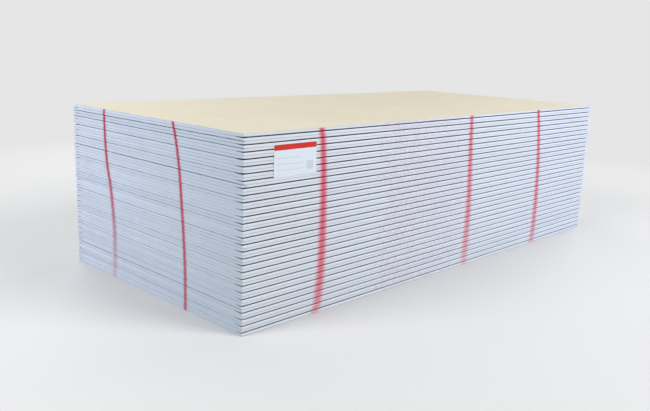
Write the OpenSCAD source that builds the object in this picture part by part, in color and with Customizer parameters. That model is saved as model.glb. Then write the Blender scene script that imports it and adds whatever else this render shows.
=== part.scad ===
// Stack of drywall sheets, laid in pairs with their faces together.
// Origin: middle of the base. +X along the sheets, +Y across them, +Z up. Millimetres.

/* [Sheet] */
// Length of a sheet, between its sawn ends
sheet_l = 2600; // [1200:10:3600]
// Width of a sheet, between its paper-wrapped long edges
sheet_w = 1200; // [600:10:1250]
// Thickness of a sheet, away from its tapered edges
sheet_t = 12.5; // [9.5:0.5:18]

/* [Long edge] */
// Width of the taper along each long edge of the face
taper_w = 50; // [40:1:80]
// Depth of the taper at the edge, where two faces leave a dark gap
taper_d = 1.8; // [0.6:0.1:2.5]
// Rounding where the face paper turns down over the edge
face_r = 3.2; // [0.5:0.1:5]
// Rounding where the face paper is folded onto the back
back_r = 1; // [0.2:0.1:1.5]

/* [Stack] */
// Number of pairs of sheets
pair_count = 29; // [9:1:29]
// Most that an end stands in or out of line
end_stagger = 1.6; // [0:0.1:4]
// Most that a long edge stands in or out of line
edge_stagger = 0.5; // [0:0.1:2]

/* [Label] */
// Length of the paper label along the stack
label_l = 210; // [100:1:300]
// Height of the label
label_h = 120; // [60:1:125]
// Thickness of the label's paper
label_t = 0.2; // [0.1:0.05:0.5]
// Distance from the near end of the stack to the label
label_from_end = 135; // [20:1:800]
// Distance from the top of the stack down to the label
label_below_top = 45; // [5:1:45]

/* [Hidden] */
sheet_count = 2 * pair_count;
stack_h = sheet_count * sheet_t;
arc_steps = 5;
// turn from one sheet to the next, in degrees, so that no two neighbours lie alike
end_turn = 137.5;
edge_turn = 222.5;

// Sheets count from the bottom of the stack, as two digits.
function sheet_name(i) = str("sheet_", i < 10 ? "0" : "", i);

// Every second sheet lies face down on the one below.
function is_face_down(i) = i % 2 == 0;

// Points of a round corner about a centre, from one angle to another.
function corner(centre, r, from, to) =
    [for (s = [0 : arc_steps]) let (a = from + (to - from) * s / arc_steps)
        centre + r * [cos(a), sin(a)]];

// Outline of one half of a sheet's section, face up, from its back out over the long
// edge and in again to where the taper starts.
function half_section() =
    let (edge = sheet_w / 2, slope = atan(taper_d / taper_w), edge_top = sheet_t - taper_d,
         // the round on the face touches both the edge and the slope of the taper
         face_z = edge_top + face_r * tan(slope) - face_r / cos(slope))
    concat(corner([edge - back_r, back_r], back_r, -90, 0),
           corner([edge - face_r, face_z], face_r, 0, 90 - slope),
           [[edge - taper_w, sheet_t]]);

// A half outline and its mirror image, as one closed outline.
function both_halves(half) =
    concat(half, [for (i = [len(half) - 1 : -1 : 0]) [-half[i].x, half[i].y]]);

// One sheet, face up, centred on the origin with its back at the bottom.
module board() {
    rotate([90, 0, 90])
        linear_extrude(height = sheet_l, center = true)
            polygon(both_halves(half_section()));
}

// Sheet i where it lies in the stack.
module sheet(i) {
    shift = [end_stagger * sin(i * end_turn), edge_stagger * sin(i * edge_turn)];
    color(is_face_down(i) ? "antiquewhite" : "whitesmoke")
        translate([shift.x, shift.y, (i - 1) * sheet_t])
            if (is_face_down(i))
                translate([0, 0, sheet_t]) rotate([180, 0, 0]) board();
            else
                board();
}

// Paper label, flat against the long edges of the upper sheets.
module label() {
    color("white")
        translate([label_from_end - sheet_l / 2,
                   -sheet_w / 2 - edge_stagger - label_t,
                   stack_h - label_below_top - label_h])
            cube([label_l, label_t, label_h]);
}

for (i = [1 : sheet_count])
    sheet(i);
label();
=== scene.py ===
"""Looks of a stack of drywall sheets: paper, sawn gypsum ends, sprayed marks and a label.

Metres, in the frame of the CAD model: +X along the sheets, +Y across them, +Z up. The
photograph sees the long side at -Y and the sawn ends at -X.
"""

import math

import bpy
import numpy as np
from mathutils import Matrix, Vector


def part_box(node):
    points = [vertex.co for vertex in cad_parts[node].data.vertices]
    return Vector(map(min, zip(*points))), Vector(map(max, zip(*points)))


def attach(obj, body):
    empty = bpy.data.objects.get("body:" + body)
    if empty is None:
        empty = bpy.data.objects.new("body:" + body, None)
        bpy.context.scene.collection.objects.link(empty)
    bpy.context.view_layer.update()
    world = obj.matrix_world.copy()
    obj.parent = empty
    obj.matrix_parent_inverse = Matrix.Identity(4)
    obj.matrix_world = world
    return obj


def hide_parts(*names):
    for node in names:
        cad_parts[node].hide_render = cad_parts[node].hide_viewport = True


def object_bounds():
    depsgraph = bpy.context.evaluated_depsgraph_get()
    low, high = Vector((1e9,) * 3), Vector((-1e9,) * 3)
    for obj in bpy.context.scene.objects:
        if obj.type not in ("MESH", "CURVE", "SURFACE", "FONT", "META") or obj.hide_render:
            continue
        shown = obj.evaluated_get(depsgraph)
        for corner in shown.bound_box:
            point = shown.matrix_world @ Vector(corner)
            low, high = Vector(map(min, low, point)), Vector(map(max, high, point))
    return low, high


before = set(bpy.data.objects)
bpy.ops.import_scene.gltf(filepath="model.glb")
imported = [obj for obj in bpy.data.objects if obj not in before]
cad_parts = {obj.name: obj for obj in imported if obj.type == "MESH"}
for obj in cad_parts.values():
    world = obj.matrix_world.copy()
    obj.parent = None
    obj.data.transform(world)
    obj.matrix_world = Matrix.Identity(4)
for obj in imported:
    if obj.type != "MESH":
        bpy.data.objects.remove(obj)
CAD_BOX = [[float(v) for v in corner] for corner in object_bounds()]

SEED = 20

# The sheet, as in the CAD model but for a taper that is 0.2 mm deeper
SHEET_L = 2.600
SHEET_W = 1.200
SHEET_T = 0.0125
TAPER_W = 0.050
TAPER_D = 0.0020
FACE_R = 0.0032
BACK_R = 0.0010

# Places on the stack
STACK_H = CAD_BOX[1][2]
FRONT_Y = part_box("sheet_01")[0][1]
NEAR_X = -SHEET_L / 2
FAR_X = SHEET_L / 2

# The sheet's mesh
FOLD_W = 0.003  # width of the face paper that shows on the back along each long edge
ARC_STEPS = 5
STATION_STEP = 0.020
ACROSS_STEP = 0.024
END_INSET = 0.014  # from a sawn end to where the big faces begin
END_STAGGER = 0.4  # share of the solids' stagger that the sawn ends keep
SHEET_SHARP = 28  # degrees between faces from which an edge stays sharp
KINDS = ("edge", "back", "core", "ply")

# Waves: their size and their longest length
WAVE_PARTS = (1.0, 0.47, 0.23)  # each part's share of size and length
EDGE_WAVE = 0.00022
EDGE_WAVE_LENGTH = 1.3
TAPER_WAVE = 0.075  # share of the depth below the face
TAPER_WAVE_LENGTH = 0.9
END_WAVE = 0.00025
END_WAVE_LENGTH = 0.9

# Knocks on the long edges, and pressed corners
KNOCKS_MOST = 2
KNOCK_REACH = (0.025, 0.060)
KNOCK_DEPTH = (0.0004, 0.0014)
CORNER_CHANCE = 0.45
CORNER_REACH = (0.012, 0.035)
CORNER_DEPTH = (0.0006, 0.0026)
CRUSHED = {44: 0.0045, 21: 0.0025, 9: 0.0030}  # sheets with a crushed near corner, and how far

# Rims of the paper at the sawn ends
RIM_STEPS = ((0.0, 1.0), (0.75, 0.25), (1.0, 0.0))  # share of the cut, share of the rim's depth
RIM_DEPTH = (0.0025, 0.0045)
RIM_DEPTH_PER_CUT = 3
RIM_DEPTH_MOST = 0.011
RIM_RAGGED = (0.75, 1.25)
RIM_INSET = 0.0006  # from the long edges, at the sawn face

# Joints that show as lines on the near end (-1) and the far end (1), counted from the floor
# up, and how far their rims stand open; most lie between one pair of sheets and the next
DARK_JOINTS = {-1: (8, 44, 51, 54, 56), 1: (6, 14, 30, 38, 52)}
GREY_JOINTS = {
    -1: (4, 16, 20, 22, 27, 28, 32, 34, 40, 47),
    1: (2, 10, 18, 21, 26, 34, 42, 46, 49, 55),
}
DARK_OPENING = (0.0014, 0.0019)
GREY_OPENING = (0.0008, 0.0012)
FAINT_OPENING = (0.00018, 0.00050)

# Written colours, linear
EDGE_WHITE = (0.770, 0.815, 0.880)
EDGE_SHADE = (0.660, 0.700, 0.770)
# Worn by rubbing where the sheets' backs meet, and partly painted shade of the joint
EDGE_RUB_AND_SHADE = (0.450, 0.470, 0.500)
EDGE_SCUFF = (0.500, 0.510, 0.530)
# Painted shade on the faces inside the gaps between the sheets, near and far
FACE_GAP_SHADE = (0.130, 0.132, 0.135)
FACE_GAP_SHADE_FAR = (0.300, 0.320, 0.370)
FAR_LIGHT_TINT = (0.955, 0.985, 1.075)  # painted bluish light: times the paper's colour at the far end
CREAM = (0.635, 0.578, 0.438)
CREAM_DARK = (0.555, 0.495, 0.358)
CREAM_LIGHT = (0.690, 0.648, 0.525)
CREAM_SPECK = (0.420, 0.380, 0.320)
CORE = (0.505, 0.575, 0.655)
CORE_DARK = (0.440, 0.505, 0.610)
# Painted light: the sawn ends lighter and bluer towards the far side
CORE_FAR_LIT = (0.685, 0.755, 0.915)
# Painted shade in the gypsum's pores
CORE_PIT_SHADE = (0.360, 0.400, 0.480)
# Torn paper at the sawn ends, darkened as painted shade in the grooves between the sheets
PLY_AND_SHADE = (0.300, 0.310, 0.330)
FRONT_RED = (0.690, 0.026, 0.095)
# The stripes' red on the sawn ends, darker as painted shade
END_RED_SHADED = (0.450, 0.018, 0.060)
INK = (0.640, 0.270, 0.500)
LABEL_WHITE = (0.762, 0.840, 0.925)
LABEL_BAND = (0.625, 0.017, 0.003)
LABEL_GREY = (0.420, 0.450, 0.500)
FLOOR = (0.680, 0.680, 0.675)
FLOOR_LIGHT = (0.720, 0.720, 0.720)
FLOOR_BOUNCE = (0.340, 0.340, 0.340)
BACKDROP = (0.790, 0.790, 0.790)
SKY = (0.200, 0.210, 0.230)

# Where tones change: places and distances, and shares of a pair's height from where faces meet
FAR_PAINTED_FROM = 0.1  # from the near end, along the sheets, where the painted bluish light and the paling of the painted gap shade begin
CORE_LIGHT_FADE = (-0.55, 0.60)  # in Y, from the near tone to the far one, which is lighter and bluer: painted light
# Painted shade in the gaps between the sheets:
GAP_SHADE_BEGINS = (0.0018, 0.0042)  # in from the long edge
GAP_SHADE_ENDS = (0.048, 0.075)  # in from the nearest rim
GAP_SHADE_PALER_LOW = 0.45  # how far the painted gap shade goes over to its paler far colour at the bottom
FACE_SHARE = (0.10, 0.14)
BACK_SHARE = (0.425, 0.475)

# Sprayed stripes: (height, place along the side) points, half widths at the bottom and at
# the top, and (height, strength) points; a height is a share of the stack's height
FRONT_STRIPES = [
    dict(
        path=[(0.0, 0.357), (0.16, 0.385), (0.32, 0.391), (0.58, 0.391), (0.80, 0.386), (1.0, 0.369)],
        half=(0.030, 0.019),
        strength=[(0.0, 0.45), (0.25, 0.78), (0.60, 0.84), (1.0, 0.88)],
    ),
    dict(
        path=[(0.0, 1.382), (0.18, 1.386), (0.34, 1.388), (0.57, 1.380), (0.80, 1.367), (1.0, 1.357)],
        half=(0.034, 0.017),
        strength=[(0.0, 0.32), (0.30, 0.66), (0.60, 0.74), (1.0, 0.78)],
    ),
    dict(
        path=[(0.0, 2.033), (0.19, 2.042), (0.48, 2.034), (0.76, 2.010), (1.0, 1.975)],
        half=(0.030, 0.016),
        strength=[(0.0, 0.45), (0.25, 0.70), (0.60, 0.78), (1.0, 0.88)],
    ),
]
END_STRIPES = [
    dict(
        path=[
            (0.0, 0.347), (0.22, 0.347), (0.44, 0.357), (0.59, 0.367),
            (0.74, 0.378), (0.88, 0.396), (1.0, 0.421),
        ],
        half=(0.014, 0.011),
        strength=[(0.0, 0.78), (0.5, 0.88), (1.0, 0.95)],
    ),
    dict(
        path=[
            (0.0, 0.874), (0.27, 0.867), (0.43, 0.877), (0.56, 0.891),
            (0.70, 0.915), (0.86, 0.925), (1.0, 0.927),
        ],
        half=(0.022, 0.011),
        strength=[(0.0, 0.26), (0.20, 0.46), (0.45, 0.76), (0.7, 0.90), (1.0, 0.95)],
    ),
]
FRONT_PAINT_DEPTH = (0.006, 0.030)  # in the gaps, from full paint to none
END_PAINT_DEPTH = (0.004, 0.030)

# Printed dashes on the near long side, measured from the near end
PRINT_FROM = 0.690
PRINT_TO = 1.260
PRINT_SHIFT = 0.10  # most that a sheet's row starts later
PRINT_STRENGTH = (0.46, 0.32)  # where a row starts and where it ends
PRINT_HALF = (0.16, 0.26)  # of the sheet's thickness, from full ink to none
DASH_PITCH = 0.0090
DASH_SHARE = 0.72  # of the pitch
DASH_SKIPPED = 0.38  # share of the dashes left out

# The label: its print in shares of its size, its mesh, and how it is pressed and lifts
LABEL_BAND_MIDDLE = 0.110
LABEL_BAND_HALF = 0.085
LABEL_PRINT_HALF = 0.495
# Empty ruled lines and a plain block: left, right, top and bottom, and strength
LABEL_MARKS = [
    (0.06, 0.62, 0.430, 0.446, 0.55),
    (0.06, 0.68, 0.612, 0.628, 0.55),
    (0.06, 0.68, 0.792, 0.808, 0.55),
    (0.76, 0.92, 0.590, 0.860, 0.40),
]
LABEL_WIDE = 43  # points along it
LABEL_TALL = 49  # points up it
LABEL_SHARP = 40  # degrees between faces from which an edge stays sharp
LABEL_PRESS = 0.000175
LABEL_PRESS_REACH = 0.0022
LABEL_RIPPLE = 37  # radians a metre, of the press along the label
LABEL_LIFT = 0.0022
LABEL_LIFT_ALONG = 0.035
LABEL_LIFT_UP = 0.030

# Camera at the photograph's viewing angle, in degrees and pixels of the photograph
CAMERA_AT = (-2.859, -2.504, 1.040)
CAMERA_AZIMUTH = -45.82
CAMERA_ELEVATION = 12.67
CAMERA_ROLL = 2.07
FOCAL_PIXELS = 734
PHOTO_WIDTH = 650
SENSOR = 36.0
VIEW_END = 200

# Floor
FLOOR_HALF = 60
FLOOR_DROP = 0.0005  # below the stack's underside
FLOOR_FADE = (1.6, 4.5)  # distances over which the floor goes over into the backdrop

# Lamps: name, place, aim, size and power
LAMPS = [
    ("front", (1.6, -6.0, 3.9), (0.4, 0.0, 0.3), 4.0, 402),
    ("left", (-6.5, 0.5, 3.9), (-1.0, 0.0, 0.3), 4.0, 362),
    ("back", (1.0, 6.5, 2.4), (0.0, 0.0, 0.3), 4.0, 250),
    ("right", (7.5, 0.5, 2.4), (1.0, 0.0, 0.3), 4.0, 270),
]


# Helpers for nodes and objects


def add(tree, kind, inputs=None, **settings):
    """A new shader node, with its settings and its inputs as values or sockets."""
    made = tree.nodes.new("ShaderNode" + kind)
    for key, value in settings.items():
        setattr(made, key, value)
    for key, value in (inputs or {}).items():
        if isinstance(value, bpy.types.NodeSocket):
            tree.links.new(value, made.inputs[key])
        else:
            made.inputs[key].default_value = value
    return made


def calc(tree, operation, *values, clamp=False):
    made = add(tree, "Math", dict(enumerate(values)), operation=operation, use_clamp=clamp)
    return made.outputs[0]


def product(tree, *values):
    made = values[0]
    for value in values[1:]:
        made = calc(tree, "MULTIPLY", made, value)
    return made


def distance(tree, a, b):
    return calc(tree, "ABSOLUTE", calc(tree, "SUBTRACT", a, b))


def span(tree, value, low, high, to_low=0.0, to_high=1.0, kind="SMOOTHSTEP"):
    """value carried from low..high to to_low..to_high, held at both ends."""
    inputs = {"Value": value, "From Min": low, "From Max": high, "To Min": to_low, "To Max": to_high}
    return add(tree, "MapRange", inputs, interpolation_type=kind).outputs["Result"]


def rgba(colour):
    """A written colour with its alpha, or a socket as it is."""
    return colour if isinstance(colour, bpy.types.NodeSocket) else (*colour, 1.0)


def blend(tree, share, a, b):
    """Colour a, going over to colour b as share rises from 0 to 1."""
    factor, first, second, result = 0, 6, 7, 2  # the Mix node's sockets for colours
    made = add(tree, "Mix", {factor: share, first: rgba(a), second: rgba(b)}, data_type="RGBA")
    return made.outputs[result]


def stretch(tree, vector, scale):
    return add(tree, "VectorMath", {0: vector, 1: scale}, operation="MULTIPLY").outputs[0]


def noise(tree, vector, scale, detail=3.0, roughness=0.55):
    inputs = {"Vector": vector, "Scale": scale, "Detail": detail, "Roughness": roughness}
    return add(tree, "TexNoise", inputs).outputs["Fac"]


def dice(tree, *values):
    """An even random number from up to three whole numbers."""
    spot = add(tree, "CombineXYZ", dict(enumerate(values))).outputs[0]
    return add(tree, "TexWhiteNoise", {"Vector": spot}, noise_dimensions="3D").outputs["Value"]


def curve(tree, value, points):
    """A smooth curve through (place from 0 to 1, level) points, read at value."""
    low = min(level for _, level in points)
    high = max(level for _, level in points)
    made = add(tree, "FloatCurve", {"Value": value})
    line = made.mapping.curves[0]
    spots = [(place, (level - low) / (high - low)) for place, level in points]
    line.points[0].location = spots[0]
    line.points[1].location = spots[-1]
    for spot in spots[1:-1]:
        line.points.new(*spot)
    made.mapping.update()
    return calc(tree, "MULTIPLY_ADD", made.outputs[0], high - low, low)


def axes(tree, place):
    """The three coordinates of a place."""
    return add(tree, "SeparateXYZ", {0: place}).outputs


def sheet_row(tree, z):
    """The number of the sheet at a height, from 0 at the bottom."""
    return calc(tree, "FLOOR", calc(tree, "DIVIDE", z, SHEET_T))


def new_material(name, roughness, specular=0.3):
    """An empty material, its tree, its shader and the place in the stack's frame."""
    made = bpy.data.materials.new(name)
    made.use_nodes = True
    tree = made.node_tree
    shader = tree.nodes["Principled BSDF"]
    shader.inputs["Roughness"].default_value = roughness
    shader.inputs["Specular IOR Level"].default_value = specular
    place = add(tree, "TexCoord").outputs["Object"]
    return made, tree, shader, place


def set_colour(tree, shader, colour):
    tree.links.new(colour, shader.inputs["Base Color"])


def set_roughness(tree, shader, fibres, low, high):
    """Roughness that follows the paper's fibres."""
    tree.links.new(span(tree, fibres, 0.3, 0.8, low, high), shader.inputs["Roughness"])


def set_bump(tree, shader, height, strength, depth):
    made = add(tree, "Bump", {"Height": height, "Strength": strength, "Distance": depth})
    tree.links.new(made.outputs[0], shader.inputs["Normal"])


def link_object(name, data):
    """A new object in the scene."""
    made = bpy.data.objects.new(name, data)
    bpy.context.collection.objects.link(made)
    return made


# Paint and print


def sprayed(tree, place, along, height, stripes):
    """How far the sprayed stripes cover a side: soft edges, a mist of droplets beside them."""
    grain = noise(tree, place, 420.0, 2.0)
    drops = span(tree, noise(tree, place, 800.0, 1.0), 0.56, 0.66)
    cover = 0.0
    for stripe in stripes:
        middle = curve(tree, height, stripe["path"])
        half = span(tree, height, 0.0, 1.0, *stripe["half"], kind="LINEAR")
        share = calc(tree, "DIVIDE", distance(tree, along, middle), half)
        ragged = calc(tree, "MULTIPLY_ADD", grain, 0.5, calc(tree, "SUBTRACT", share, 0.25))
        body = span(tree, ragged, 0.15, 1.30, 1.0, 0.0)
        mist = calc(tree, "MULTIPLY", span(tree, share, 0.7, 2.4, 0.45, 0.0), drops)
        strength = curve(tree, height, stripe["strength"])
        mark = calc(tree, "MULTIPLY", calc(tree, "MAXIMUM", body, mist), strength)
        cover = calc(tree, "MAXIMUM", cover, mark)
    return cover


def side_paint(tree, place, along, inward, z, stripes, depth):
    """Cover of a side's stripes, giving out in the gaps between the sheets."""
    height = calc(tree, "DIVIDE", z, STACK_H)
    reach = span(tree, inward, *depth, 1.0, 0.0)
    return calc(tree, "MULTIPLY", sprayed(tree, place, along, height, stripes), reach, clamp=True)


def front_paint(tree, place, x, y, z):
    along = calc(tree, "SUBTRACT", x, NEAR_X)
    inward = calc(tree, "SUBTRACT", y, FRONT_Y)
    return side_paint(tree, place, along, inward, z, FRONT_STRIPES, FRONT_PAINT_DEPTH)


def end_paint(tree, place, x, y, z):
    along = calc(tree, "SUBTRACT", y, FRONT_Y)
    inward = calc(tree, "SUBTRACT", x, NEAR_X)
    return side_paint(tree, place, along, inward, z, END_STRIPES, END_PAINT_DEPTH)


def ink_dashes(tree, x, y, z):
    """A row of short plain dashes on the long edge of each sheet."""
    row = sheet_row(tree, z)
    shift = calc(tree, "MULTIPLY", dice(tree, row, 3.0, 1.0), PRINT_SHIFT)
    along = calc(tree, "SUBTRACT", calc(tree, "SUBTRACT", x, NEAR_X), shift)
    cell = calc(tree, "DIVIDE", along, DASH_PITCH)
    chosen = calc(tree, "GREATER_THAN", dice(tree, calc(tree, "FLOOR", cell), row, 7.0), DASH_SKIPPED)
    dash = calc(tree, "LESS_THAN", calc(tree, "FRACT", cell), DASH_SHARE)
    begun = calc(tree, "GREATER_THAN", along, PRINT_FROM)
    ended = calc(tree, "LESS_THAN", along, PRINT_TO)
    level = calc(tree, "FRACT", calc(tree, "DIVIDE", z, SHEET_T))
    middle = span(tree, distance(tree, level, 0.5), *PRINT_HALF, 1.0, 0.0)
    front = calc(tree, "LESS_THAN", y, 0.0)
    strength = span(tree, along, PRINT_FROM, PRINT_TO, *PRINT_STRENGTH, kind="LINEAR")
    return product(tree, middle, chosen, dash, begun, ended, front, strength)


# Materials


def edge_tone(tree, place, z, streaks, fibres):
    """White paper, each sheet a little its own, with streaks, fibres and scuffs."""
    tint = calc(tree, "MULTIPLY", dice(tree, sheet_row(tree, z), 1.0, 2.0), 0.30)
    shade = calc(tree, "ADD", tint, span(tree, streaks, 0.40, 0.75, 0.0, 0.55))
    shade = calc(tree, "MULTIPLY_ADD", span(tree, fibres, 0.45, 0.75), 0.22, shade, clamp=True)
    colour = blend(tree, shade, EDGE_WHITE, EDGE_SHADE)
    patches = noise(tree, stretch(tree, place, (9.0, 9.0, 60.0)), 1.0, 5.0, 0.7)
    scuffs = calc(tree, "MULTIPLY", span(tree, patches, 0.63, 0.74), 0.30)
    return blend(tree, scuffs, colour, EDGE_SCUFF)


def painted_gap_shade(tree, colour, x, y, z, to_face, away):
    """Painted shade on the faces in the gaps near their rims, paler further along and lower down."""
    inward = calc(tree, "SUBTRACT", SHEET_W / 2, calc(tree, "ABSOLUTE", y))
    from_end = calc(tree, "SUBTRACT", FAR_X, calc(tree, "ABSOLUTE", x))
    on_face = span(tree, to_face, *FACE_SHARE, 1.0, 0.0)
    in_gap = span(tree, inward, *GAP_SHADE_BEGINS)
    near_rim = span(tree, calc(tree, "MINIMUM", inward, from_end), *GAP_SHADE_ENDS, 1.0, 0.0)
    low_down = span(tree, z, 0.0, STACK_H, GAP_SHADE_PALER_LOW, 0.0)
    paler = calc(tree, "ADD", away, low_down, clamp=True)
    gap_shade = blend(tree, paler, FACE_GAP_SHADE, FACE_GAP_SHADE_FAR)
    return blend(tree, product(tree, in_gap, on_face, near_rim), colour, gap_shade)


def edge_paper():
    """White face paper, which also wraps the long edges: painted shade in the gaps, lines worn by
    rubbing and partly painted shade where the backs meet, a painted bluish light towards the far end,
    print and paint.
    """
    made, tree, shader, place = new_material("edge_paper", 0.72)
    x, y, z = axes(tree, place)
    streaks = noise(tree, stretch(tree, place, (1.6, 30.0, 160.0)), 1.0, 4.0)
    fibres = noise(tree, stretch(tree, place, (260.0, 700.0, 700.0)), 1.0, 3.0, 0.65)
    # painted light: the paper bluer towards the far end, and the painted gap shade paler
    away = span(tree, x, NEAR_X + FAR_PAINTED_FROM, FAR_X, kind="LINEAR")
    level = calc(tree, "FRACT", calc(tree, "DIVIDE", z, 2 * SHEET_T))  # faces meet at a half
    to_face = distance(tree, level, 0.5)
    colour = edge_tone(tree, place, z, streaks, fibres)
    colour = blend(tree, away, colour, stretch(tree, colour, FAR_LIGHT_TINT))
    # painted shade on the faces inside the gaps between the sheets
    colour = painted_gap_shade(tree, colour, x, y, z, to_face, away)
    # a darker line where the backs meet: partly worn by rubbing, partly painted shade of the joint's
    # groove
    near_back = span(tree, to_face, *BACK_SHARE)
    rub_and_shade = calc(tree, "MULTIPLY", near_back, span(tree, streaks, 0.25, 0.60, 0.40, 0.85))
    colour = blend(tree, rub_and_shade, colour, EDGE_RUB_AND_SHADE)
    colour = blend(tree, ink_dashes(tree, x, y, z), colour, INK)
    colour = blend(tree, front_paint(tree, place, x, y, z), colour, FRONT_RED)
    set_colour(tree, shader, colour)
    set_roughness(tree, shader, fibres, 0.62, 0.82)
    set_bump(tree, shader, fibres, 0.25, 0.0003)
    return made


def back_paper():
    """Cream back paper: cloudy recycled fibre, faint streaks along the sheet, a few rubs."""
    made, tree, shader, place = new_material("back_paper", 0.85, 0.2)
    clouds = noise(tree, place, 3.2, 5.0, 0.6)
    streaks = noise(tree, stretch(tree, place, (0.35, 60.0, 1.0)), 1.0, 3.0)
    fibres = noise(tree, stretch(tree, place, (320.0, 520.0, 400.0)), 1.0, 4.0, 0.7)
    specks = span(tree, noise(tree, place, 620.0, 1.0), 0.70, 0.78)
    rubs = span(tree, noise(tree, stretch(tree, place, (7.0, 2.0, 1.0)), 1.0, 6.0, 0.7), 0.64, 0.76)
    colour = blend(tree, span(tree, clouds, 0.25, 0.75, 0.35, 0.85), CREAM_LIGHT, CREAM)
    for mark, strength, tone in (
        (span(tree, streaks, 0.45, 0.75), 0.16, CREAM_DARK),
        (span(tree, fibres, 0.40, 0.75), 0.25, CREAM_DARK),
        (specks, 0.30, CREAM_SPECK),
        (rubs, 0.20, CREAM_LIGHT),
    ):
        colour = blend(tree, calc(tree, "MULTIPLY", mark, strength), colour, tone)
    set_colour(tree, shader, colour)
    set_roughness(tree, shader, fibres, 0.78, 0.92)
    set_bump(tree, shader, fibres, 0.30, 0.0003)
    return made


def core():
    """Sawn gypsum: pale and bluish, with pores, saw lines and powder, each sheet a little its own;
    lighter and bluer towards the far side as painted light, and painted shade in the pores.
    """
    made, tree, shader, place = new_material("gypsum_core", 0.9, 0.15)
    x, y, z = axes(tree, place)
    tint = calc(tree, "MULTIPLY", dice(tree, sheet_row(tree, z), 5.0, 2.0), 0.36)
    lines = noise(tree, stretch(tree, place, (40.0, 3.0, 900.0)), 1.0, 3.0)
    pores = add(tree, "TexVoronoi", {"Vector": place, "Scale": 420.0}).outputs["Distance"]
    clouds = noise(tree, place, 14.0, 4.0)
    shade = calc(tree, "MULTIPLY_ADD", span(tree, lines, 0.40, 0.75), 0.40, tint)
    shade = calc(tree, "MULTIPLY_ADD", span(tree, clouds, 0.35, 0.75), 0.14, shade, clamp=True)
    # painted light: lighter and bluer towards the far side
    away = span(tree, y, *CORE_LIGHT_FADE, kind="LINEAR")
    colour = blend(tree, shade, blend(tree, away, CORE, CORE_FAR_LIT), CORE_DARK)
    # painted shade in the pores
    pit_shade = span(tree, pores, 0.10, 0.28, 1.0, 0.0)
    colour = blend(tree, calc(tree, "MULTIPLY", pit_shade, 0.25), colour, CORE_PIT_SHADE)
    # the stripes on the sawn end in a darker red: painted shade
    colour = blend(tree, end_paint(tree, place, x, y, z), colour, END_RED_SHADED)
    set_colour(tree, shader, colour)
    rough = calc(tree, "ADD", lines, span(tree, pores, 0.0, 0.4))
    set_bump(tree, shader, rough, 0.35, 0.0006)
    return made


def cut_ply():
    """The torn edges of the paper where a sheet was sawn, darkened as painted shade in the grooves
    between the sheets.
    """
    made, tree, shader, place = new_material("cut_paper", 0.9, 0.15)
    x, y, z = axes(tree, place)
    fluff = noise(tree, stretch(tree, place, (300.0, 120.0, 300.0)), 1.0, 4.0, 0.7)
    colour = blend(tree, span(tree, fluff, 0.35, 0.70), CORE_DARK, PLY_AND_SHADE)
    # the stripes on the sawn end in a darker red: painted shade
    colour = blend(tree, end_paint(tree, place, x, y, z), colour, END_RED_SHADED)
    set_colour(tree, shader, colour)
    set_bump(tree, shader, fluff, 0.4, 0.0004)
    return made


def label_band(tree, place, across, down):
    """Cover of the worn band at the label's head."""
    inside = calc(tree, "LESS_THAN", distance(tree, across, 0.5), LABEL_PRINT_HALF)
    band = calc(tree, "LESS_THAN", distance(tree, down, LABEL_BAND_MIDDLE), LABEL_BAND_HALF)
    worn = span(tree, noise(tree, place, 260.0, 4.0, 0.7), 0.25, 0.45, 0.86, 1.0)
    return product(tree, band, inside, worn)


def label_paper(low, high):
    """Coated paper with a plain band at the head, empty ruled lines and a plain block."""
    made, tree, shader, place = new_material("label_paper", 0.45, 0.4)
    x, _, z = axes(tree, place)
    across = span(tree, x, low.x, high.x, kind="LINEAR")
    down = span(tree, z, high.z, low.z, kind="LINEAR")
    fibres = noise(tree, place, 900.0, 3.0, 0.65)
    colour = blend(tree, span(tree, fibres, 0.40, 0.75, 0.0, 0.30), LABEL_WHITE, EDGE_SHADE)
    colour = blend(tree, label_band(tree, place, across, down), colour, LABEL_BAND)
    for left, right, top, bottom, strength in LABEL_MARKS:
        mark = product(
            tree,
            calc(tree, "GREATER_THAN", across, left),
            calc(tree, "LESS_THAN", across, right),
            calc(tree, "GREATER_THAN", down, top),
            calc(tree, "LESS_THAN", down, bottom),
            strength,
        )
        colour = blend(tree, mark, colour, LABEL_GREY)
    set_colour(tree, shader, colour)
    set_roughness(tree, shader, fibres, 0.38, 0.55)
    set_bump(tree, shader, fibres, 0.15, 0.0002)
    return made


# The sheets


def edge_outline():
    """(distance in from the long edge, height) points from the back round to the face."""
    slope = math.atan(TAPER_D / TAPER_W)
    face_z = SHEET_T - TAPER_D + FACE_R * math.tan(slope) - FACE_R / math.cos(slope)
    points = [(FOLD_W, 0.0), (FOLD_W * 0.4, 0.0)]
    for step in range(ARC_STEPS + 1):
        angle = math.radians(-90 + 90 * step / ARC_STEPS)
        points.append((BACK_R - BACK_R * math.cos(angle), BACK_R + BACK_R * math.sin(angle)))
    for share in (0.33, 0.67):
        points.append((0.0, BACK_R + (face_z - BACK_R) * share))
    for step in range(ARC_STEPS + 1):
        angle = (math.pi / 2 - slope) * step / ARC_STEPS
        points.append((FACE_R - FACE_R * math.cos(angle), face_z + FACE_R * math.sin(angle)))
    for share in (0.25, 0.6, 1.0):
        points.append((TAPER_W * share, SHEET_T - TAPER_D * (1 - share)))
    return np.array(points)


EDGE = edge_outline()


def wave(rng, places, size, longest):
    """A smooth wandering line of about that size, from a few sines."""
    line = np.zeros(len(places))
    for part in WAVE_PARTS:
        line += part * np.sin(places * 2 * math.pi / (longest * part) + rng.uniform(0, 2 * math.pi))
    return size * line / sum(WAVE_PARTS)


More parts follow.
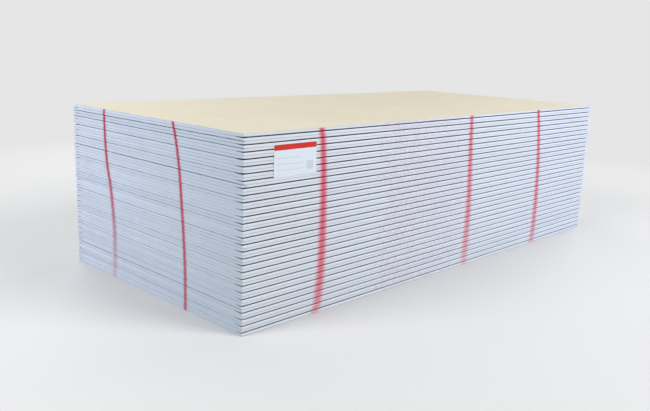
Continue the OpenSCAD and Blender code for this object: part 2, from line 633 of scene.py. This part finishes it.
def dents(rng, stations):
    """How far the long edge is pressed in at each station: a few shallow knocks."""
    press = np.zeros(len(stations))
    for _ in range(rng.integers(0, KNOCKS_MOST + 1)):
        spot = rng.uniform(stations[0], stations[-1])
        reach = rng.uniform(*KNOCK_REACH)
        depth = rng.uniform(*KNOCK_DEPTH)
        press += depth * np.clip(1 - ((stations - spot) / reach) ** 2, 0, None) ** 2
    for end in (stations[0], stations[-1]):
        if rng.random() < CORNER_CHANCE:
            depth = rng.uniform(*CORNER_DEPTH)
            reach = rng.uniform(*CORNER_REACH)
            press += depth * np.clip(1 - np.abs(stations - end) / reach, 0, None) ** 2
    return press


def cross_row(x, start, height, count):
    """Points across the sheet, evenly between y = start and y = -start, without these two."""
    across = np.linspace(start, -start, count + 2)[1:-1]
    return np.c_[np.full(count, x), across, np.full(count, height)]


class SheetMesh:
    """Points and faces of one sheet, face up, with its middle at the origin of X and Y."""

    def __init__(self, rng, length, width, rims, crushed):
        self.rng = rng
        self.length = length
        self.width = width
        self.rims = rims
        self.crushed = crushed
        self.across = max(2, int((width - 2 * TAPER_W) / ACROSS_STEP))
        self.points = []
        self.faces = []
        self.kinds = []
        self.build()

    def put(self, points):
        """Adds points and returns their numbers."""
        first = len(self.points)
        self.points.extend(points)
        return list(range(first, len(self.points)))

    def face(self, corners, kind):
        self.faces.append(corners)
        self.kinds.append(kind)

    def long_edges(self, stations):
        """Point places of both long edges, one array of (station, point, xyz) for each side."""
        near_edge = 1 - EDGE[:, 0] / TAPER_W
        drop = np.where(EDGE[:, 1] > SHEET_T / 2, SHEET_T - EDGE[:, 1], 0)
        sides = []
        for sign in (1, -1):
            press = dents(self.rng, stations)
            press += wave(self.rng, stations, EDGE_WAVE, EDGE_WAVE_LENGTH) + EDGE_WAVE
            if sign < 0:
                press[0] += self.crushed
            taper = wave(self.rng, stations, TAPER_WAVE, TAPER_WAVE_LENGTH)
            places = np.empty((len(stations), len(EDGE), 3))
            places[:, :, 0] = stations[:, None]
            places[:, :, 1] = sign * (self.width / 2 - EDGE[:, 0] - press[:, None] * near_edge)
            places[:, :, 2] = EDGE[:, 1] - drop * taper[:, None]
            sides.append(places)
        return sides

    def full_ring(self, x, right, left, inset, face_cut, back_cut):
        """All points round the sheet near a sawn end: long edge, face, long edge, back."""
        face = cross_row(x, self.width / 2 - TAPER_W, SHEET_T, self.across)
        back = cross_row(x, FOLD_W - self.width / 2, 0.0, self.across)
        ring = np.vstack([right, face, left[::-1], back])
        ring[:, 0] = x
        ring[:, 1] *= 1 - inset / (self.width / 2)
        middle = SHEET_T / 2
        high = ring[:, 2] > middle
        cut = np.where(high, face_cut, back_cut) * self.rng.uniform(*RIM_RAGGED, len(ring))
        lowered = np.maximum(ring[:, 2] - cut, middle)
        raised = np.minimum(ring[:, 2] + cut, middle)
        ring[:, 2] = np.where(high, lowered, raised)
        return ring

    def build(self):
        """The long edges, then both sawn ends, then the face and the back between them."""
        inner = self.length / 2 - END_INSET
        steps = int((self.length - 2 * END_INSET) / STATION_STEP)
        stations = np.linspace(-inner, inner, steps + 1)
        all_stations = np.concatenate([[-self.length / 2], stations, [self.length / 2]])
        right, left = self.long_edges(all_stations)
        mid_right = [self.put(places) for places in right[1:-1]]
        mid_left = [self.put(places[::-1]) for places in left[1:-1]]
        for k in range(steps):
            self.edge_strip(mid_right[k], mid_right[k + 1])
            self.edge_strip(mid_left[k], mid_left[k + 1])
        flats = {}
        for end, sign in ((0, -1), (-1, 1)):
            flats[sign] = self.sawn_end(sign, right[end], left[end], mid_right[end], mid_left[end])
        self.big_faces(mid_right, mid_left, flats)

    def edge_strip(self, row_a, row_b):
        """Quads between two rows of points on a long edge, the second further along +X."""
        for j in range(len(row_a) - 1):
            self.face([row_a[j], row_a[j + 1], row_b[j + 1], row_b[j]], "edge")

    def sawn_end(self, sign, right, left, mid_right, mid_left):
        """The end's rings and its sawn face. Returns the rows of points beside the big faces."""
        face_cut, back_cut, depth = self.rims[sign]
        end_x = sign * self.length / 2
        flat = self.full_ring(end_x - sign * END_INSET, right, left, 0.0, 0.0, 0.0)
        face_row = self.put(flat[len(EDGE):len(EDGE) + self.across])
        back_row = self.put(flat[2 * len(EDGE) + self.across:])
        rings = [mid_right + face_row + mid_left + back_row]
        for share, depth_share in RIM_STEPS:
            x = end_x - sign * depth * depth_share
            ring = self.full_ring(x, right, left, RIM_INSET * share, face_cut * share, back_cut * share)
            ripple = wave(self.rng, ring[:, 1], END_WAVE, END_WAVE_LENGTH) * (0.3 + 0.7 * share)
            ring[:, 0] += sign * (ripple - END_WAVE)
            rings.append(self.put(ring))
        for step, (inner, outer) in enumerate(zip(rings, rings[1:])):
            pair = (outer, inner) if sign < 0 else (inner, outer)
            self.end_strip(*pair, torn=step > 0)
        self.face(rings[-1] if sign > 0 else rings[-1][::-1], "core")
        return face_row, back_row

    def end_strip(self, ring_a, ring_b, torn):
        """Quads round the sheet, with the torn edge of the paper on the big faces' share."""
        total = len(ring_a)
        for j in range(total):
            on_face = len(EDGE) - 1 <= j < len(EDGE) + self.across
            on_back = j >= 2 * len(EDGE) + self.across - 1
            if torn and (on_face or on_back):
                kind = "ply"
            else:
                kind = "back" if on_back else "edge"
            after = (j + 1) % total
            self.face([ring_a[j], ring_a[after], ring_b[after], ring_b[j]], kind)

    def big_faces(self, mid_right, mid_left, flats):
        """The face and the back, each one polygon between the long edges and the sawn ends."""
        near_face, near_back = flats[-1]
        far_face, far_back = flats[1]
        left_side = [row[0] for row in mid_left]
        right_side = [row[-1] for row in mid_right[::-1]]
        self.face(left_side + far_face[::-1] + right_side + near_face, "edge")
        right_side = [row[0] for row in mid_right]
        left_side = [row[-1] for row in mid_left[::-1]]
        self.face(right_side + far_back[::-1] + left_side + near_back, "back")


def joint_opening(joint, end):
    """How far the rims stand open at a joint, from 0 under the stack up, at one sawn end."""
    rng = np.random.default_rng([SEED, joint, end + 1])
    if joint in DARK_JOINTS[end]:
        return rng.uniform(*DARK_OPENING)
    if joint in GREY_JOINTS[end]:
        return rng.uniform(*GREY_OPENING)
    return rng.uniform(*FAINT_OPENING)


def is_face_down(number):
    return number % 2 == 0


def rim_cuts(rng, number, end):
    """(face cut, back cut, depth) of a sheet's rims at one sawn end."""
    below = joint_opening(number - 1, end)
    above = joint_opening(number, end)
    face_cut, back_cut = (below, above) if is_face_down(number) else (above, below)
    depth = rng.uniform(*RIM_DEPTH) + RIM_DEPTH_PER_CUT * max(face_cut, back_cut)
    return face_cut, back_cut, min(depth, RIM_DEPTH_MOST)


def sheet_mesh(name, sheet, place, face_down, materials):
    """A sheet's mesh in its place, mirrored in height where the sheet lies face down."""
    points = np.array(sheet.points)
    faces = sheet.faces
    if face_down:
        points[:, 2] = SHEET_T - points[:, 2]
        faces = [corners[::-1] for corners in faces]
    points += place
    mesh = bpy.data.meshes.new(name)
    mesh.from_pydata(points.tolist(), [], faces)
    for kind in KINDS:
        mesh.materials.append(materials[kind])
    mesh.polygons.foreach_set("material_index", [KINDS.index(kind) for kind in sheet.kinds])
    mesh.polygons.foreach_set("use_smooth", [len(corners) == 4 for corners in faces])
    mesh.set_sharp_from_angle(angle=math.radians(SHEET_SHARP))
    mesh.update()
    return mesh


def make_sheet(name, number, materials):
    """A detailed sheet in the place of its CAD node."""
    rng = np.random.default_rng(SEED * 1000 + number)
    low, high = (Vector(corner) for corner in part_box(name))
    low.x = NEAR_X + END_STAGGER * (low.x - NEAR_X)
    high.x = FAR_X + END_STAGGER * (high.x - FAR_X)
    middle = (low + high) / 2
    rims = {end: rim_cuts(rng, number, end) for end in (-1, 1)}
    sheet = SheetMesh(rng, high.x - low.x, high.y - low.y, rims, CRUSHED.get(number, 0.0))
    place = (middle.x, middle.y, low.z)
    mesh = sheet_mesh(name + "_board", sheet, place, is_face_down(number), materials)
    board = link_object(name + "_board", mesh)
    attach(board, "root")
    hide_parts(name)


# The label


def label_points(low, high):
    """The label's front points and then its back ones, row by row from the bottom."""
    rng = np.random.default_rng(SEED)
    xs = np.linspace(low.x, high.x, LABEL_WIDE)
    zs = np.linspace(low.z, high.z, LABEL_TALL)
    grid_x, grid_z = np.meshgrid(xs, zs)
    to_gap = np.abs((grid_z / (2 * SHEET_T)) % 1 - 0.5) * 2 * SHEET_T
    press = LABEL_PRESS * np.exp(-((to_gap / LABEL_PRESS_REACH) ** 2))
    press = press * (0.7 + 0.3 * np.sin(grid_x * LABEL_RIPPLE + rng.uniform(0, 6)))
    lift_x = np.clip((grid_x - (high.x - LABEL_LIFT_ALONG)) / LABEL_LIFT_ALONG, 0, 1)
    lift_z = np.clip(((low.z + LABEL_LIFT_UP) - grid_z) / LABEL_LIFT_UP, 0, 1)
    front = low.y - LABEL_LIFT * (lift_x * lift_z) ** 1.5 + press
    back = front + (high.y - low.y)
    points = []
    for layer in (front, back):
        points += np.c_[grid_x.ravel(), layer.ravel(), grid_z.ravel()].tolist()
    return points


def label_faces():
    """Quads of the label's front, back and rim."""

    def at(row, column, layer):
        return (layer * LABEL_TALL + row) * LABEL_WIDE + column

    faces = []
    for row in range(LABEL_TALL - 1):
        for column in range(LABEL_WIDE - 1):
            quad = [(row, column), (row, column + 1), (row + 1, column + 1), (row + 1, column)]
            faces.append([at(*spot, 0) for spot in quad])
            faces.append([at(*spot, 1) for spot in quad[::-1]])
    rim = [(0, column) for column in range(LABEL_WIDE)]
    rim += [(row, LABEL_WIDE - 1) for row in range(1, LABEL_TALL)]
    rim += [(LABEL_TALL - 1, column) for column in range(LABEL_WIDE - 2, -1, -1)]
    rim += [(row, 0) for row in range(LABEL_TALL - 2, 0, -1)]
    for here, there in zip(rim, rim[1:] + rim[:1]):
        faces.append([at(*there, 0), at(*here, 0), at(*here, 1), at(*there, 1)])
    return faces


def make_label():
    """A thin paper label, pressed a little into the gaps and lifting at one corner."""
    low, high = (Vector(corner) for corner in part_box("label"))
    faces = label_faces()
    mesh = bpy.data.meshes.new("paper_label")
    mesh.from_pydata(label_points(low, high), [], faces)
    mesh.materials.append(label_paper(low, high))
    mesh.polygons.foreach_set("use_smooth", [True] * len(faces))
    mesh.set_sharp_from_angle(angle=math.radians(LABEL_SHARP))
    piece = link_object("paper_label", mesh)
    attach(piece, "root")
    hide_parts("label")


# Camera, floor and light


def camera_turn():
    """The camera's turn, from its azimuth, elevation and roll."""
    azimuth = math.radians(CAMERA_AZIMUTH)
    elevation = math.radians(CAMERA_ELEVATION)
    roll = math.radians(CAMERA_ROLL)
    flat = math.cos(elevation)
    back = Vector((math.sin(azimuth) * flat, -math.cos(azimuth) * flat, math.sin(elevation)))
    level_right = Vector((math.cos(azimuth), math.sin(azimuth), 0))
    level_up = back.cross(level_right)
    right = math.cos(roll) * level_right + math.sin(roll) * level_up
    up = math.cos(roll) * level_up - math.sin(roll) * level_right
    return Matrix((right, up, back)).transposed().to_4x4()


def make_camera():
    lens = bpy.data.cameras.new("camera")
    lens.sensor_width = SENSOR
    lens.lens = FOCAL_PIXELS / PHOTO_WIDTH * SENSOR
    lens.clip_end = VIEW_END
    camera = link_object("camera", lens)
    camera.matrix_world = Matrix.Translation(CAMERA_AT) @ camera_turn()
    bpy.context.scene.camera = camera


def seen_ray(tree):
    """1 for what the camera sees, also in a reflection or through a clear thing."""
    path = add(tree, "LightPath").outputs
    seen = calc(tree, "MAXIMUM", path["Is Camera Ray"], path["Is Glossy Ray"])
    return calc(tree, "MAXIMUM", seen, path["Is Transmission Ray"])


def floor_material():
    """Pale and matt near the stack, where it keeps the shadow, and the backdrop further off."""
    made, tree, shader, place = new_material("floor", 0.9, 0.1)
    grain = noise(tree, place, 40.0, 3.0)
    colour = blend(tree, span(tree, grain, 0.3, 0.7, 0.0, 0.12), FLOOR, FLOOR_LIGHT)
    seen = seen_ray(tree)
    set_colour(tree, shader, blend(tree, seen, FLOOR_BOUNCE, colour))
    far = add(tree, "VectorMath", {0: place}, operation="LENGTH").outputs["Value"]
    far = calc(tree, "MULTIPLY", span(tree, far, *FLOOR_FADE), seen)
    glow = add(tree, "Emission", {"Color": rgba(BACKDROP)}).outputs[0]
    mixed = add(tree, "MixShader", {0: far, 1: shader.outputs[0], 2: glow}).outputs[0]
    tree.links.new(mixed, tree.nodes["Material Output"].inputs["Surface"])
    return made


def make_floor():
    corners = [(x * FLOOR_HALF, y * FLOOR_HALF, 0) for x, y in ((-1, -1), (1, -1), (1, 1), (-1, 1))]
    mesh = bpy.data.meshes.new("floor")
    mesh.from_pydata(corners, [], [[0, 1, 2, 3]])
    mesh.materials.append(floor_material())
    floor = link_object("floor", mesh)
    floor.location.z = -FLOOR_DROP


def make_lamp(name, place, aim, size, power):
    data = bpy.data.lights.new(name, "AREA")
    data.shape = "DISK"
    data.size = size
    data.energy = power
    lamp = link_object(name, data)
    lamp.location = place
    lamp.rotation_euler = (Vector(aim) - Vector(place)).to_track_quat("-Z", "Y").to_euler()


def make_light():
    """Big soft lamps from above, and a weak sky, so that the gaps between the sheets stay dark."""
    world = bpy.data.worlds.new("studio")
    world.use_nodes = True
    tree = world.node_tree
    sky = tree.nodes["Background"]
    tree.links.new(blend(tree, seen_ray(tree), SKY, BACKDROP), sky.inputs["Color"])
    sky.inputs["Strength"].default_value = 1.0
    bpy.context.scene.world = world
    for lamp in LAMPS:
        make_lamp(*lamp)


def main():
    bpy.context.scene.view_settings.view_transform = "Standard"
    make_camera()
    make_floor()
    make_light()
    materials = {"edge": edge_paper(), "back": back_paper(), "core": core(), "ply": cut_ply()}
    for name in sorted(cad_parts):
        if name.startswith("sheet_"):
            make_sheet(name, int(name.split("_")[1]), materials)
    make_label()


main()
